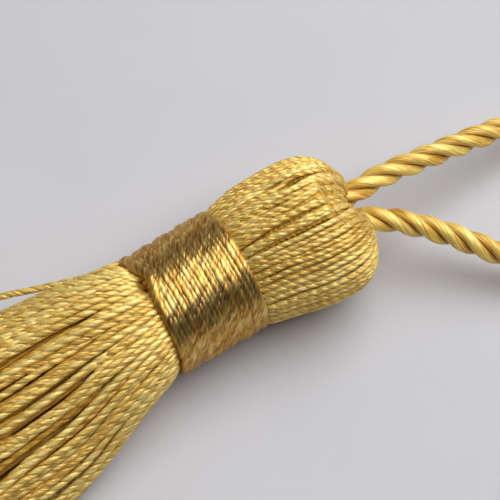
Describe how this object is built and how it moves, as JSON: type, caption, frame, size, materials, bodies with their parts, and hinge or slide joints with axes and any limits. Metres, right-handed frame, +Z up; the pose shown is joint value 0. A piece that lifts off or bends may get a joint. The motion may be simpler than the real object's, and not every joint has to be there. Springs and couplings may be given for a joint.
{
  "type": "silk tassel",
  "caption": "Gold silk tassel lying on its side: round yarn head, wound neck binding, loose skirt of twisted yarns and a twisted cord loop.",
  "frame": {"origin": "centre of the tassel's box, without the cord loop, on the surface it lies on", "axes": "+X along the tassel from the skirt's tips to the head, +Z up from the surface, +Y sideways"},
  "size_m": [0.1366, 0.0375, 0.0122],
  "materials": {
    "gold_yarn": "glossy twisted silk yarn",
    "gold_thread": "glossy soft-twist silk thread",
    "gold_cord": "satin twisted silk cord"
  },
  "bodies": {
    "root": {"yarn_bundle": "gold_yarn", "neck_binding": "gold_thread", "cord_loop": "gold_cord"}
  },
  "joints": []
}
